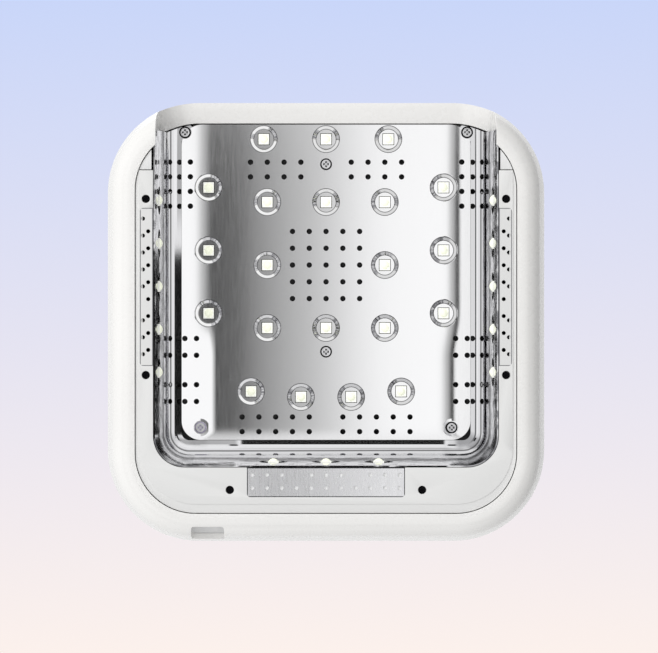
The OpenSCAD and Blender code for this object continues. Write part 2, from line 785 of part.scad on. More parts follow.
module wall_reflector() {
    through = 2 * (in_x + over);
    foot_cut_y = rim_y - 8;
    color("#C4C5C8") difference() {
        intersection() {
            union() {
                cavity_sweep(ceiling_front) wall_section();
                for (i = [0, 1]) mirror([i, 0, 0]) screw_tab();
            }
            inside_lip();
        }
        translate([-in_x - over, -body_d, -over])
            cube([through, body_d - foot_cut_y, foot_z + shell_wall + over]);
        for (y = side_led_spots) translate([0, y, wall_led_z]) rotate([0, 90, 0])
            cylinder(d = wall_hole_d, h = through, center = true);
        for (x = back_led_spots) translate([x, in_y - wall_draft, wall_led_z]) rotate([-90, 0, 0])
            cylinder(d = wall_hole_d, h = 2 * wall_draft, center = true);
        for (i = [0, 1], y = concat(front_rows, rear_rows)) mirror([i, 0, 0]) {
            translate([bend_x, y, wall_vent_z]) rotate([0, 90, 0])
                cylinder(d = vent_d, h = in_x - bend_x);
            translate([bend_x + wall_end_u, y, wall_high_z]) rotate([0, roll_vent_angle, 0])
                cylinder(d = vent_d, h = 2 * wall_roll_r);
            translate([bend_x + flange_u + flange_vent, y, tab_z - over])
                cylinder(d = vent_d, h = 2 * over + sheet);
        }
        for (i = [-1, 1], k = [1:5]) {
            translate([i * k * vent_grid, in_y - wall_draft, back_vent_z]) rotate([-90, 0, 0])
                cylinder(d = vent_d, h = 3 * wall_draft, center = true);
            translate([i * k * vent_grid, bend_y + wall_end_u, wall_high_z])
                rotate([back_roll_angle - 90, 0, 0]) cylinder(d = vent_d, h = 2 * wall_roll_r);
        }
        for (p = tab_screws) {
            translate([p[0], p[1], tab_z - over])
                cylinder(r = screw_r + screw_clear, h = 2 * over + sheet);
            translate([p[0], p[1], tab_z - 2 * screw_head_h])
                cylinder(r = screw_head_r + head_gap, h = 2 * screw_head_h);
        }
    }
}

// Tapered stand under the frame's plate, drilled to take a screw from below
module frame_boss(x, y, low) {
    translate([x, y, low]) difference() {
        cylinder(r = boss_r, h = frame_plate_z - low + over);
        translate([0, 0, -over]) cylinder(r = screw_r + screw_fit, h = frame_plate_z - low + over);
    }
}

// Front foot of the frame, which fills the corner between the ring's end and the rim
module frame_foot() {
    translate([0, 0, foot_z]) linear_extrude(foot_h) intersection() {
        plan(rim_x - ring_gap, rim_y - ring_gap, rim_r - ring_gap);
        translate([in_x + foot_side_gap, -body_d])
            square([ring_side, body_d - ring_front - ring_gap]);
    }
}

module inner_frame() {
    rib_u = wall_board_u + board;
    color("#EDEDEE") difference() {
        union() {
            cavity_sweep(frame_front) translate([frame_in_u, ring_top])
                square([frame_wall, frame_plate_z - ring_top]);
            translate([0, 0, frame_plate_z]) linear_extrude(frame_plate) intersection() {
                cavity(frame_in_u + frame_wall, ceiling_front);
                body_plan(frame_margin);
            }
            for (i = [0, 1]) mirror([i, 0, 0]) frame_foot();
            for (p = ring_screw_spots) translate([p[0], p[1], ring_top])
                cylinder(r = ring_boss_r, h = ring_boss_h);
            for (i = [-1, 1])
                translate([i * back_screw_x - rib_thick / 2, bend_y + frame_in_u, ring_top])
                    cube([rib_thick, in_y + back_screw_in - bend_y - frame_in_u, ring_boss_h]);
            for (p = ceiling_screws) frame_boss(p[0], p[1], strip_z(abs(p[0]) - boss_r) + sheet);
            for (p = tab_screws) frame_boss(p[0], p[1], tab_z + sheet);
            for (i = [0, 1], k = [0:2]) mirror([i, 0, 0])
                translate([bend_x + rib_u, side_led_spots[2 * k] - rib_shift, wall_board_low])
                    cube([frame_in_u + over - rib_u, rib_thick, wall_board_h]);
            for (i = [-1, 1])
                translate([(i * back_led_pitch - rib_thick) / 2, bend_y + rib_u, wall_board_low])
                    cube([rib_thick, frame_in_u + over - rib_u, wall_board_h]);
            for (p = control_posts) translate([p[0], p[1], frame_plate_z])
                cylinder(r = control_post_r, h = control_z - frame_plate_z);
        }
        for (p = ring_screw_spots) translate([p[0], p[1], ring_top - over])
            cylinder(r = ring_shank_r + screw_fit, h = ring_boss_h + over / 2);
        for (p = frame_screw_spots) translate([p[0], p[1], frame_plate_z - over])
            cylinder(r = screw_r + screw_clear, h = frame_plate + 2 * over);
        for (p = control_posts) translate([p[0], p[1], frame_plate_z + frame_plate])
            cylinder(r = ring_shank_r + screw_fit, h = control_z - frame_plate_z);
        for (y = [led_row(1), led_row(3) - wire_slot_gap]) translate([0, y, frame_plate_z])
            cube([2 * led_grid_x, wire_slot_w, 3 * frame_plate], center = true);
    }
}

module ceiling_led_board() {
    color("#232427") difference() {
        translate([-ceiling_board_x, -ceiling_board_front, ceiling_board_z])
            cube([2 * ceiling_board_x, ceiling_board_front + ceiling_board_back, board]);
        for (p = ceiling_screws) if (p[0] == 0) translate([p[0], p[1], ceiling_z])
            cylinder(r = boss_r + boss_clear, h = 2 * frame_plate_z - ceiling_z);
    }
}

// Square package with its face towards +Z and its back on the board at z = 0
module led_package() {
    resin_deep = led_thick / 3;
    difference() {
        translate([-led_size / 2, -led_size / 2, 0]) cube([led_size, led_size, led_thick]);
        translate([0, 0, led_thick - resin_deep]) cylinder(d = resin_d, h = led_thick);
    }
}

// Resin that fills the round window of a package and stands over it as a dome
module led_resin() {
    resin_deep = led_thick / 3;
    dome_r = (pow(resin_d / 2, 2) + pow(dome_h, 2)) / (2 * dome_h);
    translate([0, 0, led_thick - resin_deep]) cylinder(d = resin_d, h = resin_deep);
    rotate_extrude() intersection() {
        translate([0, led_thick + dome_h - dome_r]) circle(dome_r);
        translate([0, led_thick - resin_deep / 2]) square(resin_d / 2);
    }
}

module at_ceiling_leds() {
    for (p = led_spots) translate([p[0], p[1], ceiling_board_z]) mirror([0, 0, 1]) children();
}

module at_wall_leds() {
    for (i = [0, 1], y = side_led_spots) mirror([i, 0, 0])
        translate([bend_x + wall_board_u, y, wall_led_z]) rotate([0, -90, 0]) children();
    for (x = back_led_spots)
        translate([x, bend_y + wall_board_u, wall_led_z]) rotate([90, 0, 0]) children();
}

module ceiling_leds() {
    color("#F4F2E4") at_ceiling_leds() led_package();
}

module ceiling_led_lenses() {
    color("#F6F9D8") at_ceiling_leds() led_resin();
}

module wall_leds() {
    color("#F4F2E4") at_wall_leds() led_package();
}

module wall_led_lenses() {
    color("#F6F9D8") at_wall_leds() led_resin();
}

// Upright board behind a side wall
module side_board() {
    length = 4 * wall_led_pitch + 2 * wall_board_end;
    color("#232427")
        translate([bend_x + wall_board_u, side_led_first - wall_board_end, wall_board_low])
            cube([board, length, wall_board_h]);
}

module wall_led_board_left() {
    mirror([1, 0, 0]) side_board();
}

module wall_led_board_right() {
    side_board();
}

module wall_led_board_rear() {
    length = 2 * back_led_pitch + 2 * wall_board_end;
    color("#232427") translate([-length / 2, bend_y + wall_board_u, wall_board_low])
        cube([length, board, wall_board_h]);
}

// Pan-head screw that points up, with the underside of its head at z = 0
module screw(head_r, head_h, shank_r, length) {
    slot = 0.32 * head_r;
    reach = 0.92 * head_r;
    edge = 0.7 * head_h;
    difference() {
        union() {
            translate([0, 0, edge - head_h]) cylinder(r = head_r, h = head_h - edge);
            rotate_extrude() {
                translate([0, -head_h]) square([head_r - edge, head_h]);
                intersection() {
                    translate([head_r - edge, edge - head_h]) circle(edge);
                    translate([0, -head_h]) square([head_r, edge]);
                }
            }
            translate([0, 0, -head_h / 2]) cylinder(r = shank_r, h = length + head_h / 2);
        }
        for (a = [0, 90]) rotate([0, 0, a]) translate([0, 0, -head_h])
            cube([reach, slot, 1.2 * head_h], center = true);
    }
}

module reflector_screws() {
    spots = concat([for (p = ceiling_screws) [p[0], p[1], strip_z(p[0])]],
                   [for (p = tab_screws) [p[0], p[1], tab_z]]);
    color("#8E9094") for (p = spots) translate(p)
        screw(screw_head_r, screw_head_h, screw_r, frame_plate_z - p[2] - sheet);
}

module ring_screws() {
    color("#1C1C1E") for (p = ring_screw_spots) translate([p[0], p[1], ring_top - ring_ledge])
        screw(ring_screw_r, ring_screw_h, ring_shank_r, ring_ledge + ring_boss_h - 1);
}

module frame_screws() {
    color("#8E9094") for (p = frame_screw_spots) translate([p[0], p[1], frame_plate_z])
        screw(screw_head_r, screw_head_h, screw_r, frame_plate + screw_bite);
}

module control_board() {
    color("#2F7A4B") difference() {
        translate([-control_w / 2, control_mid - control_d / 2, control_z])
            cube([control_w, control_d, board]);
        for (p = control_posts) translate([p[0], p[1], control_z - over])
            cylinder(r = ring_shank_r + screw_clear, h = board + 2 * over);
    }
}

// Screws driven down through the control board into the frame's posts
module control_board_screws() {
    color("#8E9094") for (p = control_posts) translate([p[0], p[1], control_z + board])
        mirror([0, 0, 1])
            screw(ring_screw_r, ring_screw_h, ring_shank_r, board + board_screw_bite);
}

module power_coil() {
    coil_r = 7;
    coil_h = 0.8 * tall_part_h;
    coil_x = 22;
    coil_y = 10;
    color("#8A5A2B") translate([-coil_x, control_mid + coil_y, control_z + board]) difference() {
        cylinder(r = coil_r, h = coil_h);
        translate([0, 0, over]) cylinder(r = coil_r / 2, h = coil_h);
    }
}

module capacitors() {
    can_r = 4;
    can_pitch = 11;
    can_x = 2;
    can_y = 12;
    color("#33363B") for (k = [0:2])
        translate([can_x + k * can_pitch, control_mid + can_y, control_z + board])
            cylinder(r = can_r, h = tall_part_h);
}

module panel_board() {
    color("#2F7A4B") difference() {
        translate([-panel_board_w / 2, -panel_mid - panel_board_d / 2, panel_board_top - board])
            cube([panel_board_w, panel_board_d, board]);
        for (p = panel_posts) translate([p[0], p[1], panel_board_top - board - over])
            cylinder(r = ring_shank_r + screw_clear, h = board + 2 * over);
    }
}

// Screws driven up through the panel board into the housing's posts
module panel_board_screws() {
    color("#8E9094") for (p = panel_posts) translate([p[0], p[1], panel_board_top - board])
        screw(ring_screw_r, ring_screw_h, ring_shank_r, board + board_screw_bite);
}

module tact_switches() {
    color("#2A2B2E") for (x = button_spots) translate([x, button_y, panel_board_top]) {
        translate([-switch_size / 2, -switch_size / 2, 0])
            cube([switch_size, switch_size, switch_h]);
        cylinder(r = stem_r, h = switch_h + stem_h);
    }
}

module display_module() {
    frame_w = window_w - 4;
    frame_d = window_d - 2;
    color("#17181B") translate([-frame_w / 2, window_y - frame_d / 2, panel_board_top])
        cube([frame_w, frame_d, skin_z - panel_board_top]);
}

module control_panel() {
    color("#ECECEF") difference() {
        translate([0, -panel_mid, body_h - panel_thick]) linear_extrude(panel_thick)
            plan(panel_w / 2 - panel_fit, panel_d / 2 - panel_fit, panel_r - panel_fit);
        for (x = button_spots) translate([x, button_y, skin_z])
            cylinder(d = button_d + 2 * button_gap, h = shell_wall + over);
        translate([0, window_y, body_h])
            cube([window_w + 2 * panel_fit, window_d + 2 * panel_fit, 3 * panel_thick],
                 center = true);
    }
}

module display_window() {
    tongue = window_ledge + panel_fit;
    color("#2B2D31") translate([0, window_y, body_h - panel_thick / 2])
        cube([window_w, window_d, panel_thick], center = true);
    color("#2B2D31") translate([0, window_y, body_h - window_thick / 2])
        cube([window_w - 2 * tongue, window_d - 2 * tongue, window_thick], center = true);
}

// Button cap with the flange that keeps it in and the plunger that meets the switch
module button(x) {
    flange_z = skin_z - button_gap - flange_h;
    dish_r = 40;
    dish_deep = 0.5;
    color("#F7F7F8") translate([x, button_y, 0]) difference() {
        union() {
            translate([0, 0, flange_z]) cylinder(d = button_d, h = body_h - flange_z);
            translate([0, 0, flange_z]) cylinder(r = button_d / 2 + button_flange, h = flange_h);
            translate([0, 0, flange_z - plunger_h]) cylinder(r = plunger_r, h = plunger_h + over);
        }
        translate([0, 0, body_h + dish_r - dish_deep]) sphere(dish_r);
    }
}

module button_10s() {
    button(button_spots[0]);
}

module button_30s() {
    button(button_spots[1]);
}

module button_60s() {
    button(button_spots[2]);
}

module button_99s() {
    button(button_spots[3]);
}

// Moulded pocket behind the housing's notch, which lines the recess and holds the jack
module inlet_housing() {
    color("#EFEFF0") difference() {
        intersection() {
            body_core(shell_wall + housing_gap);
            translate([-port_x - port_w / 2 - port_wall, port_y - port_wall, 0])
                cube([port_w + 2 * port_wall, body_d / 2, port_h + port_wall]);
        }
        inlet_recess();
        translate([-port_x, port_y - port_wall - over, jack_z]) rotate([-90, 0, 0])
            cylinder(r = jack_nose_r + nose_gap, h = port_wall + 2 * over);
    }
}

module dc_jack() {
    back = port_y - port_wall - jack_len;
    color("#1D1E20") translate([-port_x, 0, jack_z]) difference() {
        union() {
            translate([-jack_w / 2, back, -jack_w / 2]) cube([jack_w, jack_len, jack_w]);
            translate([0, back + over, 0]) rotate([-90, 0, 0])
                cylinder(r = jack_nose_r, h = port_y - jack_flush - back - over);
        }
        translate([0, port_y - barrel_deep, 0]) rotate([-90, 0, 0])
            cylinder(d = plug_d + plug_fit, h = barrel_deep + over);
    }
}

module dc_jack_pin() {
    color("#C9B27A") translate([-port_x, port_y - barrel_deep, jack_z]) rotate([-90, 0, 0])
        cylinder(r = pin_r, h = barrel_deep - pin_inset);
}

// Two leads from the inlet up behind the frame and forward to the control board
module jack_leads() {
    back = port_y - port_wall - jack_len;
    start_z = jack_z + jack_w / 2;
    top_z = control_z + board + lead_r;
    front = control_mid + control_d / 2 - lead_end;
    rise_y = max(bend_y + frame_in_u + frame_wall + lead_gap, back) + lead_r;
    color("#B23A34") for (i = [-1, 1]) translate([i * lead_spacing - port_x, 0, 0]) {
        translate([0, rise_y, start_z]) cylinder(r = lead_r, h = top_z - lead_bend - start_z);
        translate([0, rise_y - lead_bend, top_z - lead_bend]) rotate([90, 0, 90])
            rotate_extrude(angle = 90) translate([lead_bend, 0]) circle(lead_r);
        translate([0, front, top_z]) rotate([-90, 0, 0])
            cylinder(r = lead_r, h = rise_y - lead_bend - front);
    }
}

outer_shell();
base_ring();
inner_frame();
ceiling_reflector();
wall_reflector();
vent_plate_left();
vent_plate_right();
rear_vent_plate();
ceiling_led_board();
ceiling_leds();
ceiling_led_lenses();
wall_led_board_left();
wall_led_board_right();
wall_led_board_rear();
wall_leds();
wall_led_lenses();
reflector_screws();
ring_screws();
frame_screws();
control_board();
control_board_screws();
power_coil();
capacitors();
panel_board();
panel_board_screws();
tact_switches();
display_module();
control_panel();
display_window();
button_10s();
button_30s();
button_60s();
button_99s();
inlet_housing();
dc_jack();
dc_jack_pin();
jack_leads();
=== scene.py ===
import math

import bmesh
import bpy
from mathutils import Euler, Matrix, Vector


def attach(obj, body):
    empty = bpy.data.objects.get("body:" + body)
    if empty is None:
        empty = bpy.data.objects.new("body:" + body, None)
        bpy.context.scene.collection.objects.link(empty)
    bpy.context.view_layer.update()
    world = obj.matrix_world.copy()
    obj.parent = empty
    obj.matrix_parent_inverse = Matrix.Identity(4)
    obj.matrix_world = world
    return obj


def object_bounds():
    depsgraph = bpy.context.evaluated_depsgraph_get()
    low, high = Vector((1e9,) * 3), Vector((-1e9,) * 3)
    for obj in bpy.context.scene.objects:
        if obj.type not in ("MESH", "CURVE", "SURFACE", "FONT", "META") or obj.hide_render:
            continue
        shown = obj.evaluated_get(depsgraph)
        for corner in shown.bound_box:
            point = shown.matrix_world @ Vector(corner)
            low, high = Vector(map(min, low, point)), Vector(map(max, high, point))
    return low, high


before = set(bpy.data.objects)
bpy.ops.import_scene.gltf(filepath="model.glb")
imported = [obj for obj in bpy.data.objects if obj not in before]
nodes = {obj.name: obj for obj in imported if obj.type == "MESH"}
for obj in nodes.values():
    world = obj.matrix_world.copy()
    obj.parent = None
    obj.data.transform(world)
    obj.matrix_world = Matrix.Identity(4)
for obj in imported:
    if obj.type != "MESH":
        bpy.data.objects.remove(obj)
cad_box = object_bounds()
MM = 0.001

# The camera looks straight up at the lamp's underside from 1.7 m below it, with the hand
# opening at the top of the picture. The lamp stands a little left of and above its middle.
camera_right, camera_back, camera_below = 1.4, 2.3, 1720
film_mm, focal_mm = 36, 204.6
camera = bpy.data.objects.new("camera", bpy.data.cameras.new("camera"))
camera.data.sensor_width = film_mm
camera.data.lens = focal_mm
camera.data.clip_start, camera.data.clip_end = 0.05, 20
camera.location = (camera_right * MM, camera_back * MM, -camera_below * MM)
camera.rotation_euler = Euler((math.pi, 0, 0))
bpy.context.scene.collection.objects.link(camera)
bpy.context.scene.camera = camera
bpy.context.scene.view_settings.view_transform = "Standard"
bpy.context.scene.cycles.glossy_bounces = 10


# The table is a wide sheet of pale matt paper under the rim. It shows and takes the lamp's
# shadow from above. From beneath, where the camera is, it lets the eye and the light through.
def srgb(text):
    """Linear colour of an sRGB hex value such as #F1F1F0."""
    parts = [int(text[i:i + 2], 16) / 255 for i in (1, 3, 5)]
    return tuple(c / 12.92 if c <= 0.04045 else ((c + 0.055) / 1.055) ** 2.4 for c in parts) + (1,)


def add(tree, kind, sockets=(), result=0, stops=(), **settings):
    """Adds a shader node with its settings and links, and gives one or all of its outputs.

    sockets holds its inputs in their order, or by name or number: values or other outputs.
    result is the output's name or number, or None for all. stops are a colour ramp's own.
    """
    made = tree.nodes.new("ShaderNode" + kind)
    for name, value in settings.items():
        setattr(made, name, value)
    inputs = sockets if isinstance(sockets, dict) else dict(enumerate(sockets))
    for name, value in inputs.items():
        if isinstance(value, bpy.types.NodeSocket):
            tree.links.new(value, made.inputs[name])
        else:
            made.inputs[name].default_value = value
    for _ in stops[2:]:
        made.color_ramp.elements.new(0.5)
    if stops:
        for element, (at, shade) in zip(made.color_ramp.elements, stops):
            element.position = at
            element.color = shade if isinstance(shade, tuple) else (shade, shade, shade, 1)
    return made.outputs if result is None else made.outputs[result]


def blank_material(name):
    """A material with only its output node, and that node."""
    material = bpy.data.materials.new(name)
    material.use_nodes = True
    material.node_tree.nodes.clear()
    return material, material.node_tree.nodes.new("ShaderNodeOutputMaterial")


table_size = 3.0
sheet = bmesh.new()
bmesh.ops.create_grid(sheet, x_segments=1, y_segments=1, size=table_size / 2)
table_mesh = bpy.data.meshes.new("table")
sheet.to_mesh(table_mesh)
sheet.free()
table = bpy.data.objects.new("table", table_mesh)
bpy.context.scene.collection.objects.link(table)

# Paper is matt and almost white, with no pattern that would draw the eye from the lamp.
table_paper, out = blank_material("matt_paper")
tree = table_paper.node_tree
is_camera = add(tree, "LightPath", result="Is Camera Ray")
is_back = add(tree, "NewGeometry", result="Backfacing")
is_top = add(tree, "Math", (1.0, is_back), operation="SUBTRACT")
seen = add(tree, "Math", (is_camera, is_top), operation="MULTIPLY")
clear = add(tree, "BsdfTransparent")
paper = add(tree, "BsdfDiffuse", {"Color": srgb("#ECEBF2")})
tree.links.new(add(tree, "MixShader", (seen, clear, paper)), out.inputs["Surface"])
table.data.materials.append(table_paper)


# The studio's backdrop fades from lavender to a warm white. The mirrors see dark screens and
# bright cards instead, and matt surfaces get an even light from the whole room.
def spaced(low, high, stops):
    """Stops of a colour ramp whose places run from low to high."""
    return [((at - low) / (high - low), shade) for at, shade in stops]


world = bpy.data.worlds.new("studio")
bpy.context.scene.world = world
world.use_nodes = True
tree = world.node_tree
tree.nodes.clear()
out = tree.nodes.new("ShaderNodeOutputWorld")
rays = add(tree, "LightPath", result=None)
aim = add(tree, "TexCoord", result="Generated")
aim_x, aim_y, aim_z = add(tree, "SeparateXYZ", (aim,), None)

# Below the lamp, cards grow brighter from left to right, past a dark screen at the far left.
# A white card stands to the front, with a black strip across it.
card_reach, card_white = 0.25, (0.93, 0.93, 0.93, 1)
front_card_y, strip_y, strip_blur = (-0.11, -0.045), (-0.24, -0.12), 0.02
strip_black = (0.008, 0.008, 0.008, 1)
across = add(tree, "ValToRGB", (add(tree, "MapRange", (aim_x, -card_reach, card_reach)),),
             stops=spaced(-card_reach, card_reach, [
                 (-0.185, 0.95), (-0.165, 0.02), (-0.146, 0.02), (-0.139, 0.09), (-0.11, 0.11),
                 (-0.096, 0.25), (-0.079, 0.31), (-0.048, 0.44), (-0.017, 0.54), (0.014, 0.70),
                 (0.045, 0.86), (0.077, 0.97), (0.138, 1.0)]))
to_front = add(tree, "MapRange", (aim_y, *front_card_y, 1.0, 0.0),
               interpolation_type="SMOOTHSTEP")
# A mix node's sockets for colours: the amount of the second, both colours and the result.
amount, first, second, mixed = 0, 6, 7, 2
cards = add(tree, "Mix", {amount: to_front, first: across, second: card_white}, mixed,
            data_type="RGBA")
strip_front = add(tree, "MapRange", (aim_y, strip_y[0], strip_y[0] + strip_blur),
                  interpolation_type="SMOOTHSTEP")
strip_back = add(tree, "MapRange", (aim_y, strip_y[1] - strip_blur, strip_y[1], 1.0, 0.0),
                 interpolation_type="SMOOTHSTEP")
black_strip = add(tree, "Math", (strip_front, strip_back), operation="MULTIPLY")
below = add(tree, "Mix", {amount: black_strip, first: cards, second: strip_black}, mixed,
            data_type="RGBA")

# Round it, a ring of bright, dark and bright again, seen by the rolled and drawn parts.
ring_low, ring_high, ring_edge_z = -0.9, -0.1, (-0.91, -0.87)
around = add(tree, "ValToRGB", (add(tree, "MapRange", (aim_z, ring_low, ring_high)),),
             stops=spaced(ring_low, ring_high, [
                 (-0.86, 0.95), (-0.78, 0.8), (-0.71, 0.3), (-0.62, 0.14), (-0.52, 0.84),
                 (-0.2, 0.82)]))
height = add(tree, "MapRange", (aim_z, *ring_edge_z), interpolation_type="SMOOTHSTEP")
mirrored = add(tree, "Mix", {amount: height, first: below, second: around}, mixed,
               data_type="RGBA")
mirror_light = add(tree, "Background", {"Color": mirrored, "Strength": 1.08})

# Matt surfaces get nearly the same light from all sides, with the right end of the room dark.
room_light = add(tree, "ValToRGB", (add(tree, "MapRange", (aim_x, -1.0, 1.0)),),
                 stops=spaced(-1.0, 1.0, [(-1.0, 0.7), (-0.2, 0.86), (0.45, 0.89), (0.8, 0.0)]))
even_light = add(tree, "Background", {"Color": room_light, "Strength": 1.07})

# The eye sees the fade when it looks up, and one pale colour elsewhere.
picture_reach, overhead_z = 0.088, 0.9
fade = add(tree, "ValToRGB", (add(tree, "MapRange", (aim_y, -picture_reach, picture_reach)),),
           stops=spaced(-picture_reach, picture_reach, [
               (-picture_reach, srgb("#C9D6F9")), (0.0, srgb("#E4E3F2")),
               (picture_reach, srgb("#FCF1EC"))]))
overhead = add(tree, "Math", (aim_z, overhead_z), operation="GREATER_THAN")
behind = add(tree, "Mix", {amount: overhead, first: srgb("#E6E6F0"), second: fade}, mixed,
             data_type="RGBA")
backdrop = add(tree, "Background", {"Color": behind, "Strength": 1.0})
lit = add(tree, "MixShader", (rays["Is Glossy Ray"], even_light, mirror_light))
whole = add(tree, "MixShader", (rays["Is Camera Ray"], lit, backdrop))
tree.links.new(whole, out.inputs["Surface"])


# Two soft boxes: the key lights the underside from the front left, and the other lights the
# top from the front. The mirrors don't show the key.
def soft_box(name, place, target, size, watts):
    """A round soft light at a place, aimed at a target."""
    light = bpy.data.lights.new(name, "AREA")
    light.shape, light.size, light.energy = "DISK", size, watts
    lamp = bpy.data.objects.new(name, light)
    lamp.location = place
    lamp.rotation_euler = (Vector(target) - Vector(place)).to_track_quat("-Z", "Y").to_euler()
    bpy.context.scene.collection.objects.link(lamp)
    return lamp


middle = (cad_box[0] + cad_box[1]) / 2
key = soft_box("key_light", (-0.8, -0.5, -1.05), middle, size=0.9, watts=5.5)
key.visible_glossy = False
soft_box("top_light", (-0.2, -1.0, 1.25), middle, size=1.0, watts=8.0)


# The housing is one moulding of white ABS, with its rolled rim, hand opening and inlet notch
# moulded in. The polished steel mould leaves a soft gloss, and the frame is screwed to it.
noise_range = 0.3, 0.7  # where most values of a noise texture lie
weld_mm, flat_degrees, edge_degrees = 0.002, 0.3, 32


def plastic(name, colour, roughness, ripple_mm, ripple_depth_mm, mottle=0.02, coat=0.0,
            glow=0.0, alpha=1.0, tint=None):
    """Moulded plastic: a colour that drifts by mottle, and a fine ripple of the surface.

    A function given last takes the tree, the place and the colour, and gives the colour with
    painted light and shade.
    """
    drift_mm, rough_part = 40, 0.12
    material, out = blank_material(name)
    tree = material.node_tree
    place = add(tree, "TexCoord", result="Object")
    drift = add(tree, "TexNoise", {"Vector": place, "Scale": 1 / (drift_mm * MM), "Detail": 2.0})
    shade = add(tree, "MapRange", (drift, *noise_range, 1 - mottle, 1.0))
    base = add(tree, "Mix", {amount: shade, first: srgb("#000000"), second: srgb(colour)},
               mixed, data_type="RGBA")
    if tint:
        base = tint(tree, place, base)
    ripple = add(tree, "TexNoise", {"Vector": place, "Scale": 1 / (ripple_mm * MM),
                                    "Detail": 3.0, "Roughness": 0.6})
    rough = add(tree, "MapRange", (ripple, *noise_range, roughness * (1 - rough_part),
                                   roughness * (1 + rough_part)))
    bump = add(tree, "Bump", {"Height": ripple, "Strength": 1.0,
                              "Distance": ripple_depth_mm * MM})
    body = add(tree, "BsdfPrincipled", {
        "Base Color": base, "Roughness": rough, "Normal": bump, "IOR": 1.52,
        "Coat Weight": coat, "Coat Roughness": 0.08, "Emission Color": srgb(colour),
        "Emission Strength": glow, "Alpha": alpha})
    tree.links.new(body, out.inputs["Surface"])
    return material


def dress(name, material, edge_mm=0.25, segments=2):
    """Gives a CAD node its material, smooth curved faces and small rounded edges."""
    node = nodes[name]
    node.data.materials.clear()
    node.data.materials.append(material)
    node.data.shade_smooth()
    weld = node.modifiers.new("weld", "WELD")
    weld.merge_threshold = weld_mm * MM
    flat = node.modifiers.new("flat", "DECIMATE")
    flat.decimate_type = "DISSOLVE"
    flat.angle_limit = math.radians(flat_degrees)
    edge = node.modifiers.new("edge", "BEVEL")
    edge.width = edge_mm * MM
    edge.segments = segments
    edge.limit_method = "ANGLE"
    edge.angle_limit = math.radians(edge_degrees)
    edge.harden_normals = True
    edge.use_clamp_overlap = True


# Glossy moulded ABS: reflections are soft, because the mould's polish leaves a faint ripple.
# The ripple is drawn at 4 mm, which is coarser than the real one, so that it shows.
glossy_abs = plastic("glossy_white_abs", "#F3F2F0", 0.28, 4.0, 0.0007, coat=0.25)
dress("outer_shell", glossy_abs, 0.4, 3)

# The base ring is a second, flatter moulding of pale ABS, screwed up into the frame. Its back
# pocket's floor, seen through the plate's holes, gets a painted highlight that whitens it.
pocket_floor_z, pocket_front_y, pocket_half_w = 1.3, 67, 36.5


def polished_pocket(tree, place, base):
    """Paints a highlight on the floor of the ring's back pocket, which whitens it."""
    x, y, z = add(tree, "SeparateXYZ", (place,), None)
    deep = add(tree, "Math", (z, pocket_floor_z * MM), operation="GREATER_THAN")
    at_back = add(tree, "Math", (y, pocket_front_y * MM), operation="GREATER_THAN")
    floor = add(tree, "Math", (deep, at_back), operation="MULTIPLY")
    off = add(tree, "Math", (x,), operation="ABSOLUTE")
    inside = add(tree, "Math", (off, pocket_half_w * MM), operation="LESS_THAN")
    floor = add(tree, "Math", (floor, inside), operation="MULTIPLY")
    return add(tree, "Mix", {amount: floor, first: base, second: srgb("#FFFFFF")}, mixed,
               data_type="RGBA")


# Satin ABS: a spark-eroded mould gives it a fine, even grain that breaks up reflections.
satin_abs = plastic("satin_pale_abs", "#E8E8E7", 0.42, 0.5, 0.003, tint=polished_pocket)
dress("base_ring", satin_abs, 0.35, 3)


# The side vent plates are thin plates of the ring's own plastic, with small round holes, that
# drop into its pockets. The shade in the seam round each is painted on as a fine dark line.
split_degrees, seam_mm, seam_blur = 24, 0.45, 0.3


def dress_sheet(name, material):
    """Gives a perforated CAD sheet its material, flat faces and crisp edges."""
    node = nodes[name]
    node.data.materials.clear()
    node.data.materials.append(material)
    node.data.shade_smooth()
    weld = node.modifiers.new("weld", "WELD")
    weld.merge_threshold = weld_mm * MM
    split = node.modifiers.new("split", "EDGE_SPLIT")
    split.split_angle = math.radians(split_degrees)
    facing = node.modifiers.new("facing", "WEIGHTED_NORMAL")
    facing.mode = "FACE_AREA"
    facing.weight = 100


def seam_line(name, shade):
    """A function that paints the seam's shade as a dark line along the rim of a flat CAD plate."""
    spots = [Vector(spot) for spot in nodes[name].bound_box]

    def tint(tree, place, base):
        past = []
        for i, along in enumerate(add(tree, "SeparateXYZ", (place,), None)[:2]):
            low, high = min(spot[i] for spot in spots), max(spot[i] for spot in spots)
            off = add(tree, "Math", (along, (low + high) / 2), operation="SUBTRACT")
            off = add(tree, "Math", (off,), operation="ABSOLUTE")
            past.append(add(tree, "Math", (off, (high - low) / 2), operation="SUBTRACT"))
        nearest = add(tree, "Math", past, operation="MAXIMUM")
        inner, outer = -seam_mm * MM, (seam_blur - 1) * seam_mm * MM
        line = add(tree, "MapRange", (nearest, inner, outer), interpolation_type="SMOOTHSTEP")
        return add(tree, "Mix", {amount: line, first: base, second: srgb(shade)}, mixed,
                   data_type="RGBA")

    return tint


# Satin ABS again, with the ring's grain.
for side in ("left", "right"):
    name = f"vent_plate_{side}"
    plate_abs = plastic(f"satin_{name}", "#E4E4E3", 0.45, 0.5, 0.003,
                        tint=seam_line(name, "#77777B"))
    dress_sheet(name, plate_abs)

# The frame is a plain white ABS moulding that carries everything. Above its two front feet
# it is painted near black, as painted shade for the dark inside: the vent holes look black.
feet_top_z, feet_back_y = 9, -83


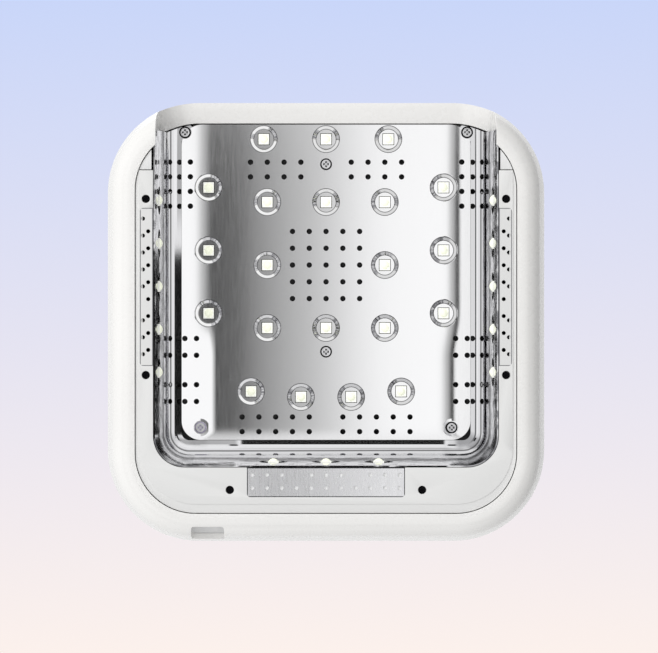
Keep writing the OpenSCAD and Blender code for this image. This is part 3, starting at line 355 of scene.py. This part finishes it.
def sprayed_black(tree, place, base):
    """Paints shade on the frame above and behind its front feet, which turns it near black."""
    _, y, z = add(tree, "SeparateXYZ", (place,), None)
    above = add(tree, "Math", (z, feet_top_z * MM), operation="GREATER_THAN")
    behind_feet = add(tree, "Math", (y, feet_back_y * MM), operation="GREATER_THAN")
    shaded = add(tree, "Math", (above, behind_feet), operation="MULTIPLY")
    return add(tree, "Mix", {amount: shaded, first: base, second: srgb("#0E0E10")}, mixed,
               data_type="RGBA")


# Satin white ABS, a little rougher than the housing, since nobody sees most of it.
shaded_frame_abs = plastic("shaded_white_abs", "#E9E9E9", 0.4, 0.6, 0.004, tint=sprayed_black)
dress("inner_frame", shaded_frame_abs, 0.25)


# The ceiling of the cavity is bright rolled aluminium sheet, folded down along both sides
# and drawn into a cup round each LED. Held by its screws, it bows slightly across its width.
# Its folds are soft bends, wider at the front than at the back, and its back edge dips.
level_range, flat_from = (0.90, 0.96), 0.97  # of how flat a face lies, where 1 is level
rolling_mm, rolling_depth_mm, rolling_run = 3, 0.0002, (4, 0.3, 1)


def sheet_metal(name, colour, roughness, bow, forms_and_paint=None):
    """Polished sheet with rolled grain and a slight bow.

    A function given last takes the tree, the place, how flat the sheet lies and a dictionary of
    its colour, tilts and waves, and gives the ones that it changes. The colour it gives can
    carry painted light and shade.
    """
    material, out = blank_material(name)
    tree = material.node_tree
    place = add(tree, "TexCoord", result="Object")
    x = add(tree, "SeparateXYZ", (place,))
    surface = add(tree, "NewGeometry", result=None)
    true_z = add(tree, "SeparateXYZ", (surface["True Normal"],), 2)
    flatness = add(tree, "Math", (true_z,), operation="ABSOLUTE")
    level = add(tree, "MapRange", (flatness, *level_range), interpolation_type="SMOOTHSTEP")
    is_flat = add(tree, "Math", (flatness, flat_from), operation="GREATER_THAN")
    # Sockets 4 and 5 of a mix node are its vectors, and 1 is their result.
    facing = add(tree, "Mix", {amount: is_flat, 4: surface["Normal"], 5: surface["True Normal"]},
                 1, data_type="VECTOR")
    made = {"base": srgb(colour), "tilt_y": 0.0, "tilt_z": 0.0, "waves": None, "depth_mm": 0,
            "tilt_x": add(tree, "Math", (x, 2 * bow), operation="MULTIPLY")}
    if forms_and_paint:
        made.update(forms_and_paint(tree, place, flatness, level, made))
    tilt = add(tree, "CombineXYZ", (
        add(tree, "Math", (made["tilt_x"], level), operation="MULTIPLY"),
        add(tree, "Math", (made["tilt_y"], level), operation="MULTIPLY"), made["tilt_z"]))
    normal = add(tree, "VectorMath", (facing, tilt), operation="ADD")
    normal = add(tree, "VectorMath", (normal,), operation="NORMALIZE")
    if made["waves"]:
        normal = add(tree, "Bump", {"Height": made["waves"], "Strength": 1.0,
                                    "Distance": made["depth_mm"] * MM, "Normal": normal})
    streaks = add(tree, "Mapping", {"Vector": place, "Scale": rolling_run})
    grain = add(tree, "TexNoise", {"Vector": streaks, "Scale": 1 / (rolling_mm * MM),
                                   "Detail": 3.0, "Roughness": 0.55})
    rough = add(tree, "MapRange", (grain, *noise_range, roughness * 0.85, roughness * 1.15))
    fine = add(tree, "Bump", {"Height": grain, "Strength": 1.0, "Normal": normal,
                              "Distance": rolling_depth_mm * MM})
    body = add(tree, "BsdfPrincipled", {"Base Color": made["base"], "Roughness": rough,
                                        "Normal": fine, "Metallic": 1.0})
    tree.links.new(body, out.inputs["Surface"])
    return material


ceiling_z, cup_deep = 62, 1.3
fold_x, strip_slope = 56.0, 2.5 / 12.7

# The folds change from the front's bend to the back's along y, and shift outwards on the
# right. At the strips' back corners they round off. The bends' own places are in metres.
fold_change_y, fold_back_shift = (-5, 18), 2.4
strip_round_y, strip_round = (50.5, 57.5), 6
bend_reach = (0.05, 0.07), (0.05, 0.075)

# The slope of the dipped back edge, and what drawing leaves of the bow in the cups' floors.
edge_dip_y, edge_dip, cup_flattening = (43, 57), 0.062, 0.93

# The cups' walls: how far painted shade darkens them to the right, and the dark rings of
# painted shade above the lip and below the floor.
steep_below, cup_shade_x, cup_shade_most = 0.985, (-50, 40), 0.3
lip_over, lip_shade = (0.1, 0.35), 0.8
root_under, root_shade = (0.35, 0.15), 0.7


def metres(*sizes_mm):
    """Sizes in metres."""
    return [size * MM for size in sizes_mm]


def folds_and_cups(tree, place, flatness, level, made):
    """Softens the ceiling's folds, dips its back edge, paints light and shade on its drawn cups.
    """
    x, y, z = add(tree, "SeparateXYZ", (place,), None)
    is_right = add(tree, "Math", (x, 0.0), operation="GREATER_THAN")
    side = add(tree, "Math", (x,), operation="ABSOLUTE")
    is_strip = add(tree, "Math", (side, fold_x * MM), operation="GREATER_THAN")

    # The strips' back corners are rounded, so the fold runs out sideways there.
    rounding = add(tree, "MapRange", (y, *metres(*strip_round_y)),
                   interpolation_type="SMOOTHSTEP")
    rounding = add(tree, "Math", (rounding, 2.0), operation="POWER")
    side = add(tree, "Math", (rounding, -strip_round * MM, side), operation="MULTIPLY_ADD")

    # How far the bend has turned at each place, from 0 on the ceiling to 1 on the strip.
    back = add(tree, "MapRange", (y, *metres(*fold_change_y)), interpolation_type="SMOOTHSTEP")
    narrow, wide = bend_reach
    along = add(tree, "MapRange", (side, *narrow))
    left_front = add(tree, "ValToRGB", (along,), stops=spaced(*narrow, [
        (0.0541, 0.0), (0.0671, 1.0)]))
    left_back = add(tree, "ValToRGB", (along,), stops=spaced(*narrow, [
        (0.0522, 0.0), (0.0562, 1.0)]))
    left = add(tree, "Mix", {amount: back, first: left_front, second: left_back}, mixed,
               data_type="RGBA")
    shifted = add(tree, "Math", (back, fold_back_shift * MM, side), operation="MULTIPLY_ADD")
    right = add(tree, "ValToRGB", (add(tree, "MapRange", (shifted, *wide)),),
                stops=spaced(*wide, [(0.0541, 0.0), (0.057, 0.2), (0.0605, 0.55),
                                     (0.063, 0.85), (0.065, 1.0)]))
    bend = add(tree, "Mix", {amount: is_right, first: left, second: right}, mixed,
               data_type="RGBA")

    # The solid folds sharply, so the normals turn by the difference.
    turn = add(tree, "Math", (is_strip, bend), operation="SUBTRACT")
    turn = add(tree, "Math", (turn, strip_slope), operation="MULTIPLY")
    is_skin = add(tree, "Math", (z, (ceiling_z + 0.2) * MM), operation="LESS_THAN")
    turn = add(tree, "Math", (turn, is_skin), operation="MULTIPLY")
    outward = add(tree, "Math", (x,), operation="SIGN")
    turn = add(tree, "Math", (turn, outward), operation="MULTIPLY")
    tilt_x = add(tree, "Math", (made["tilt_x"], turn), operation="ADD")

    # Drawing flattens the bow a little in the cups' floors, and the back edge dips.
    wall_z = metres(ceiling_z + 0.4, ceiling_z + 0.8)
    in_cup = add(tree, "MapRange", (z, *wall_z, 1.0, cup_flattening),
                 interpolation_type="SMOOTHSTEP")
    tilt_x = add(tree, "Math", (tilt_x, in_cup), operation="MULTIPLY")
    tilt_y = add(tree, "MapRange", (y, *metres(*edge_dip_y), 0.0, -edge_dip),
                 interpolation_type="SMOOTHSTEP")

    # The cups' walls are painted with light and shade: bright at the left, darker at the right,
    # and with dark rings of painted shade at the lip and at the floor.
    above_skin = add(tree, "Math", (z, (ceiling_z + 0.02) * MM), operation="GREATER_THAN")
    is_steep = add(tree, "Math", (flatness, steep_below), operation="LESS_THAN")
    is_drawn = add(tree, "Math", (above_skin, is_steep), operation="MULTIPLY")
    shade_to_right = add(tree, "MapRange", (x, *metres(*cup_shade_x), 0.0, cup_shade_most),
               interpolation_type="SMOOTHSTEP")
    cup_side_light = add(tree, "Mix", {amount: shade_to_right, first: srgb("#FFFFFF"), second: srgb("#7A7A7D")},
                    mixed, data_type="RGBA")
    lip_z = metres(*(ceiling_z + over for over in lip_over))
    lip = add(tree, "MapRange", (z, *lip_z, lip_shade, 0.0), interpolation_type="SMOOTHSTEP")
    root_z = metres(*(ceiling_z + cup_deep - under for under in root_under))
    root = add(tree, "MapRange", (z, *root_z, 0.0, root_shade), interpolation_type="SMOOTHSTEP")
    cup_ring_shade = add(tree, "Math", (lip, root), operation="MAXIMUM")
    cup = add(tree, "Mix", {amount: cup_ring_shade, first: cup_side_light, second: srgb("#2A2A2D")}, mixed,
              data_type="RGBA")
    base = add(tree, "Mix", {amount: is_drawn, first: made["base"], second: cup}, mixed,
               data_type="RGBA")
    return {"base": base, "tilt_x": tilt_x, "tilt_y": tilt_y}


# Polished aluminium: almost a mirror, with faint streaks along its rolling direction. They
# are drawn coarser than real grain, so that they show.
ceiling_sheet = sheet_metal("polished_folded_sheet", "#F1F1F2", 0.09, 0.54, folds_and_cups)
dress_sheet("ceiling_reflector", ceiling_sheet)

# The walls are one strip of the same sheet bent round the sides and the back and rolled over
# at the top. Punching and bending leave dents in its upright part, smoothed in the corners.
side_x, back_y, corner_x = 60, 50, (54, 64)

# The flange's dip, where it starts and ends, and how far the roll opens at each side.
flange_dip, left_dip_y, left_dip_end_y, back_dip_x = 0.095, (-75, 0), (52, 60), (-48, -38)
roll_low_z, roll_open_left, roll_open_right = 57, 0.6, 0.45

# Shallow waves, calmer in the corners, then dark spots of the sides and patches of the corners.
wave_mm, wave_depth_mm, wave_fade_z, corner_calm = 6, 0.10, (56, 62), 0.75
spotting_mm, spotting_range = 7, (0.42, 0.58)
patch_mm, patch_range, patch_dark = 13, (0.46, 0.6), 0.6


def roll_and_dents(tree, place, flatness, level, made):
    """Dips the wall's flanges, opens its roll and gives it dents and dark spots."""
    x, y, z = add(tree, "SeparateXYZ", (place,), None)
    side = add(tree, "Math", (x,), operation="ABSOLUTE")
    is_back = add(tree, "Math", (y, back_y * MM), operation="GREATER_THAN")

    # The flange at the top dips on the left, more and more towards the back, and at the back.
    rising = add(tree, "MapRange", (y, *metres(*left_dip_y)), interpolation_type="SMOOTHSTEP")
    ending = add(tree, "MapRange", (y, *metres(*left_dip_end_y), 1.0, 0.0),
                 interpolation_type="SMOOTHSTEP")
    left_dip = add(tree, "Math", (rising, ending), operation="MULTIPLY")
    is_left = add(tree, "Math", (x, -side_x * MM), operation="LESS_THAN")
    left_dip = add(tree, "Math", (left_dip, is_left), operation="MULTIPLY")
    starting = add(tree, "MapRange", (x, *metres(*back_dip_x)),
                   interpolation_type="SMOOTHSTEP")
    ending = add(tree, "MapRange", (x, *metres(*corner_x), 1.0, 0.0),
                 interpolation_type="SMOOTHSTEP")
    back_dip = add(tree, "Math", (starting, ending), operation="MULTIPLY")
    back_dip = add(tree, "Math", (back_dip, is_back), operation="MULTIPLY")
    dip = add(tree, "Math", (left_dip, back_dip), operation="MAXIMUM")
    tilt_y = add(tree, "Math", (dip, -flange_dip), operation="MULTIPLY")

    # The side walls are darker in random spots.
    stain = add(tree, "TexNoise", {"Vector": place, "Scale": 1 / (spotting_mm * MM),
                                   "Detail": 3.0, "Roughness": 0.6})
    roll_start = metres(roll_low_z - 1, roll_low_z + 1)
    upright = add(tree, "MapRange", (z, *roll_start, 1.0, 0.0), interpolation_type="SMOOTHSTEP")
    is_side = add(tree, "Math", (side, (side_x + 2) * MM), operation="GREATER_THAN")
    side_wall = add(tree, "Math", (upright, is_side), operation="MULTIPLY")
    spots = add(tree, "MapRange", (stain, *spotting_range), interpolation_type="SMOOTHSTEP")
    dark_spotting = add(tree, "Math", (side_wall, spots), operation="MULTIPLY")
    base = add(tree, "Mix", {amount: dark_spotting, first: made["base"], second: srgb("#8E8E92")},
               mixed, data_type="RGBA")

    # The two back corners are stretched smooth, with broad darker patches.
    broad = add(tree, "TexNoise", {"Vector": place, "Scale": 1 / (patch_mm * MM),
                                   "Detail": 1.0, "Roughness": 0.4})
    outer = add(tree, "MapRange", (side, *metres(*corner_x)), interpolation_type="SMOOTHSTEP")
    corner = add(tree, "Math", (is_back, outer), operation="MULTIPLY")
    patches = add(tree, "MapRange", (broad, *patch_range, 0.0, patch_dark),
                  interpolation_type="SMOOTHSTEP")
    patch = add(tree, "Math", (corner, patches), operation="MULTIPLY")
    base = add(tree, "Mix", {amount: patch, first: base, second: srgb("#6A6A6E")}, mixed,
               data_type="RGBA")

    # The roll opens out, more on the left, so that it faces further down.
    opened = add(tree, "MapRange", (z, *metres(roll_low_z, roll_low_z + 1), 0.0, -1.0),
                 interpolation_type="SMOOTHSTEP")
    is_roll = add(tree, "Math", (1.0, level), operation="SUBTRACT")
    opened = add(tree, "Math", (opened, is_roll), operation="MULTIPLY")
    across_lamp = metres(-side_x, side_x)
    by_side = add(tree, "MapRange", (x, *across_lamp, roll_open_left, roll_open_right),
                  interpolation_type="SMOOTHSTEP")
    tilt_z = add(tree, "Math", (opened, by_side), operation="MULTIPLY")

    # Shallow waves bend the reflections, less in the corners and none in the flange.
    waves = add(tree, "TexNoise", {"Vector": place, "Scale": 1 / (wave_mm * MM), "Detail": 2.0,
                                   "Roughness": 0.4})
    fading = add(tree, "MapRange", (z, *metres(*wave_fade_z), 1.0, 0.0),
                 interpolation_type="SMOOTHSTEP")
    waves = add(tree, "Math", (waves, fading), operation="MULTIPLY")
    calmed = add(tree, "Math", (corner, corner_calm), operation="MULTIPLY")
    calm = add(tree, "Math", (1.0, calmed), operation="SUBTRACT")
    waves = add(tree, "Math", (waves, calm), operation="MULTIPLY")
    return {"base": base, "tilt_y": tilt_y, "tilt_z": tilt_z, "waves": waves,
            "depth_mm": wave_depth_mm}


# Polished aluminium once more, a little greyer, with bent reflections.
wall_sheet = sheet_metal("polished_bent_sheet", "#E4E4E6", 0.06, 0.0, roll_and_dents)
dress_sheet("wall_reflector", wall_sheet)

# The back vent plate is stamped from bright steel and lies in the ring's back pocket. It bows
# slightly, so it is darker at its left end, and the shade in the seam round it is painted on
# as a dark line.
plate_seam_shade = seam_line("rear_vent_plate", "#3C3C40")


def dark_seam(tree, place, flatness, level, made):
    """Paints the shade in the seam round the back vent plate."""
    return {"base": plate_seam_shade(tree, place, made["base"])}


# Stamped bright steel: softer reflections than the reflector's, with brushed streaks.
stamped_steel = sheet_metal("stamped_bright_steel", "#E8E8EA", 0.28, 0.9, dark_seam)
dress_sheet("rear_vent_plate", stamped_steel)

# The LEDs are square ceramic packages, soldered to their boards, with phosphor under clear
# resin in a round window. Both scatter light, which a faint glow of their own stands for.
# Fired ceramic is matt white. Phosphor in resin is smooth and a pale greenish yellow.
ceramic = plastic("fired_white_ceramic", "#FCFDF6", 0.5, 0.3, 0.002, glow=0.3)
phosphor = plastic("phosphor_under_resin", "#F8FBE6", 0.25, 0.35, 0.001, mottle=0.03, glow=0.4)
for row in ("ceiling", "wall"):
    dress(f"{row}_leds", ceramic, 0.1)
    dress(f"{row}_led_lenses", phosphor, 0.04)

# The LED boards are aluminium under solder mask, fixed to the frame's ribs and plate. The
# mask is coloured black as painted shade, a little uneven and matt, and makes the vent holes
# look black.
board_shade_black = plastic("black_board_painted_shade", "#0D0D10", 0.55, 0.8, 0.006)
for board in ("ceiling_led_board", "wall_led_board_left", "wall_led_board_right",
              "wall_led_board_rear"):
    dress(board, board_shade_black, 0.15)


# Screws: zinc-plated pan heads hold the reflector, the frame and the boards. Their rounded
# edges carry a painted dark reflection and their recesses painted shade, and the one at the
# reflector's back left gets a painted white highlight. Small black ones sit deep in the
# ring's holes.
def metal(name, colour, roughness, grain_mm, grain_depth_mm, stretch=(1, 1, 1), paint_shading=None):
    """Turned, drawn or plated metal with its grain.

    The function given last takes the tree and the place, and gives its colour, with painted
    light and shade, and its metallic value.
    """
    material, out = blank_material(name)
    tree = material.node_tree
    place = add(tree, "TexCoord", result="Object")
    turned = add(tree, "Mapping", {"Vector": place, "Scale": stretch})
    grain = add(tree, "TexNoise", {"Vector": turned, "Scale": 1 / (grain_mm * MM),
                                   "Detail": 3.0, "Roughness": 0.55})
    rough = add(tree, "MapRange", (grain, *noise_range, roughness * 0.8, roughness * 1.2))
    fine = add(tree, "Bump", {"Height": grain, "Strength": 1.0,
                              "Distance": grain_depth_mm * MM})
    base, metallic = paint_shading(tree, place) if paint_shading else (srgb(colour), 1.0)
    body = add(tree, "BsdfPrincipled", {"Base Color": base, "Roughness": rough, "Normal": fine,
                                        "Metallic": metallic})
    tree.links.new(body, out.inputs["Surface"])
    return material


zinc_colour = "#ECECEE"
lit_screw_right_x, lit_screw_front_y = -50, 40
face_range, open_range, recess_reach = (0.9, 0.965), (0.42, 0.66), 1.2


def blackened_edges(tree, place):
    """Colour of a screw with a painted dark reflection on its rounded edge and painted shade in
    its recess, and of the one with a painted white highlight.
    """
    x, y, _ = add(tree, "SeparateXYZ", (place,), None)
    at_left = add(tree, "Math", (x, lit_screw_right_x * MM), operation="LESS_THAN")
    at_back = add(tree, "Math", (y, lit_screw_front_y * MM), operation="GREATER_THAN")
    is_lit_screw = add(tree, "Math", (at_left, at_back), operation="MULTIPLY")
    facing = add(tree, "SeparateXYZ", (add(tree, "NewGeometry", result="Normal"),), 2)
    facing = add(tree, "Math", (facing,), operation="ABSOLUTE")
    is_flat = add(tree, "MapRange", (facing, *face_range), interpolation_type="SMOOTHSTEP")
    hollow = add(tree, "AmbientOcclusion", {"Distance": recess_reach * MM}, "AO", samples=8,
                 only_local=True)
    is_open = add(tree, "MapRange", (hollow, *open_range), interpolation_type="SMOOTHSTEP")
    unshaded = add(tree, "Math", (is_flat, is_open), operation="MULTIPLY")
    zinc = add(tree, "Mix", {amount: unshaded, first: srgb("#1A1A1C"), second: srgb(zinc_colour)},
               mixed, data_type="RGBA")
    lit_screw = add(tree, "Mix", {amount: unshaded, first: srgb("#CFC8DE"), second: srgb("#FFFFFF")},
                mixed, data_type="RGBA")
    base = add(tree, "Mix", {amount: is_lit_screw, first: zinc, second: lit_screw}, mixed,
               data_type="RGBA")
    return base, add(tree, "Math", (1.0, is_lit_screw), operation="SUBTRACT")


# Zinc plate is bright, with fine turning marks, under the painted shade and highlight above.
# Black oxide is a dull dark coat.
zinc_plate = metal("bright_zinc_plate", zinc_colour, 0.3, 0.3, 0.002, paint_shading=blackened_edges)
black_oxide = metal("black_oxide_steel", "#17171A", 0.45, 0.3, 0.003)
for held in ("reflector", "frame", "control_board", "panel_board"):
    dress(f"{held}_screws", zinc_plate, 0.15)
dress("ring_screws", black_oxide, 0.12)

# The control and panel boards are glass-fibre laminate, screwed to posts. Their green solder
# mask is glossy, and darker where it lies thick.
green_mask = plastic("green_solder_mask", "#1E6B3C", 0.3, 0.7, 0.008, mottle=0.1, coat=0.3)
dress("control_board", green_mask, 0.1)
dress("panel_board", green_mask, 0.1)

# The coil is wound from enamelled copper wire, and the capacitors are cans in black shrink
# sleeves. The wire's turns show as ridges, and the sleeves are smooth with a soft shine.
enamelled_copper = metal("enamelled_copper", "#B4683A", 0.3, 0.6, 0.05, (1, 1, 6))
black_sleeve = plastic("black_shrink_sleeve", "#1B1C20", 0.35, 0.6, 0.006)
dress("power_coil", enamelled_copper, 0.3)
dress("capacitors", black_sleeve, 0.4)

# The inlet's housing is a small white ABS moulding behind the notch in the back of the
# housing. It lines the recess for the plug and holds the jack. It is as satin as the frame.
frame_abs = plastic("satin_white_abs", "#E9E9E9", 0.4, 0.6, 0.004)
dress("inlet_housing", frame_abs, 0.2)

# Switches, display and inlet are moulded from black glass-filled nylon and soldered in place.
# The glass makes their surface dull and slightly pitted.
black_nylon = plastic("black_glass_nylon", "#151518", 0.5, 0.35, 0.01)
for moulding in ("tact_switches", "display_module", "dc_jack"):
    dress(moulding, black_nylon, 0.15)

# The control panel is a glossy film-faced plate let into the top, with a smoked acrylic
# window. The film is smooth with a faint wave. The window is dark and half clear.
panel_gloss = plastic("glossy_grey_panel", "#E4E4E8", 0.2, 2.0, 0.001, coat=0.4)
smoked = plastic("smoked_acrylic", "#101115", 0.08, 3.0, 0.001, coat=0.5, alpha=0.62)
dress("control_panel", panel_gloss, 0.15)
dress("display_window", smoked, 0.15)


# Behind the window, the display's three digits of seven unlit segments show faintly. They
# are frosted resin, moulded into the display's face, and stand 0.1 mm proud of it.
def new_piece(name, work, material, body):
    """Makes an object of a bmesh in the lamp's own frame, which rides on a body."""
    bmesh.ops.recalc_face_normals(work, faces=work.faces)
    mesh = bpy.data.meshes.new(name)
    work.to_mesh(mesh)
    work.free()
    mesh.materials.append(material)
    piece = bpy.data.objects.new(name, mesh)
    bpy.context.scene.collection.objects.link(piece)
    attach(piece, body)


window_y, display_top_z = -26.0, 89.4
digit_w, digit_h, digit_pitch, slant = 5.2, 9.6, 11.0, 0.12
segment_w, segment_gap, segment_lift, segment_h = 1.1, 0.12, 0.02, 0.1
lying, standing = [(0, 1), (0, 0), (0, -1)], [(-1, 0.5), (1, 0.5), (-1, -0.5), (1, -0.5)]
digits = bmesh.new()
for digit_x in (-digit_pitch, 0.0, digit_pitch):
    for right, up in lying + standing:
        is_lying = (right, up) in lying
        tip = (digit_w if is_lying else digit_h / 2) / 2 - segment_gap
        half = segment_w / 2
        outline = [(-tip, 0), (half - tip, half), (tip - half, half),
                   (tip, 0), (tip - half, -half), (half - tip, -half)]
        corners = []
        for u, v in outline:
            if not is_lying:
                u, v = v, u
            x, y = right * digit_w / 2 + u, up * digit_h / 2 + v
            corners.append(digits.verts.new(Vector((
                digit_x + x + slant * y, window_y + y, display_top_z + segment_lift)) * MM))
        face = digits.faces.new(corners)
        raised = bmesh.ops.extrude_face_region(digits, geom=[face])["geom"]
        bmesh.ops.translate(digits, vec=(0, 0, segment_h * MM), verts=[
            part for part in raised if isinstance(part, bmesh.types.BMVert)])
# Frosted resin is pale and matt.
segment_resin = plastic("frosted_segment", "#B9BCC2", 0.5, 0.4, 0.004)
new_piece("display_segments", digits, segment_resin, "lamp")

# Four timer buttons of white ABS with a dished top stand in the panel's holes. Each has its
# seconds pad-printed on it, in an ink film that follows the dish.
# The caps are satin, a little smoother than the ring. Pad-printing ink is flat and matt.
cap_abs = plastic("satin_button_abs", "#F2F2F1", 0.36, 0.5, 0.003)
grey_ink = plastic("grey_pad_ink", "#5E6068", 0.5, 0.3, 0.002)
button_y, button_z, dish_r = -49.0, 91.5, 40.0
print_h, ink_mm, above_cap, cut_pitch, cuts = 6.0, 0.02, 0.01, 0.5, 8
for seconds, button_x in ((10, -39.0), (30, -13.0), (60, 13.0), (99, 39.0)):
    dress(f"button_{seconds}s", cap_abs, 0.4, 3)
    words = bpy.data.curves.new("words", "FONT")
    words.body, words.size = str(seconds), print_h * MM
    words.align_x, words.align_y = "CENTER", "CENTER"
    words.extrude, words.resolution_u = ink_mm * MM, 6
    printed = bpy.data.objects.new("words", words)
    bpy.context.scene.collection.objects.link(printed)
    shapes = bpy.context.evaluated_depsgraph_get()
    flat_print = bpy.data.meshes.new_from_object(printed.evaluated_get(shapes))
    bpy.data.objects.remove(printed)
    legend = bmesh.new()
    legend.from_mesh(flat_print)
    for step in range(-cuts, cuts + 1):
        for across_cut in (Vector((1, 0, 0)), Vector((0, 1, 0))):
            bmesh.ops.bisect_plane(
                legend, geom=legend.verts[:] + legend.edges[:] + legend.faces[:],
                plane_co=across_cut * step * cut_pitch * MM, plane_no=across_cut)
    for vertex in legend.verts:
        off_mm = math.hypot(vertex.co.x, vertex.co.y) / MM
        vertex.co.z += (button_z + off_mm ** 2 / (2 * dish_r) + above_cap) * MM
        vertex.co.x += button_x * MM
        vertex.co.y += button_y * MM
    new_piece(f"legend_{seconds}", legend, grey_ink, f"timer_{seconds}s")

# The inlet's pin is turned brass with gold plate, and its two leads are stranded wire in red
# PVC. Gold keeps a soft shine, and the insulation is smooth and slightly waxy.
plated_brass = metal("gold_plated_brass", "#D9B56A", 0.25, 0.3, 0.002)
red_sleeve = plastic("red_pvc_insulation", "#A3231E", 0.4, 0.5, 0.006)
dress("dc_jack_pin", plated_brass, 0.1)
dress("jack_leads", red_sleeve, 0.05)
